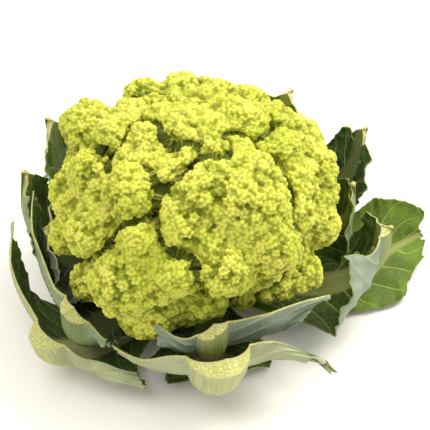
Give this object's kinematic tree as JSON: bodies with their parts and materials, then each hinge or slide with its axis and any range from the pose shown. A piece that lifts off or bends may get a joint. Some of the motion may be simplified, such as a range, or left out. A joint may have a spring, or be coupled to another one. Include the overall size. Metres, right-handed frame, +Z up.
{
  "type": "cauliflower",
  "caption": "Lime-green cauliflower head with knobbly florets, standing on its cut stalk in a ring of trimmed jacket leaves.",
  "frame": {"origin": "centre of the cut stalk's flat face, on the surface that the cauliflower stands on", "axes": "+Z up through the head, -Y towards the pictured front, +X to the right of that view"},
  "size_m": [0.2596, 0.2245, 0.1483],
  "materials": {
    "curd": "matte, finely beaded lime-green curd",
    "stalk": "satin pale green stem with a fibrous cut face",
    "leaf": "satin leaf, dark green above and grey-green below, with pale veins"
  },
  "bodies": {
    "root": {"curd": "curd", "leaf_back_inner": "leaf", "leaf_back_outer": "leaf", "leaf_back_right": "leaf", "leaf_front_inner": "leaf", "leaf_front_mid": "leaf", "leaf_front_outer": "leaf", "leaf_left_back": "leaf", "leaf_left_front_inner": "leaf", "leaf_left_front_outer": "leaf", "leaf_left_inner": "leaf", "leaf_left_outer": "leaf", "leaf_right_back": "leaf", "leaf_right_inner": "leaf", "leaf_right_mid": "leaf", "leaf_right_outer": "leaf", "stalk": "stalk"}
  },
  "joints": []
}
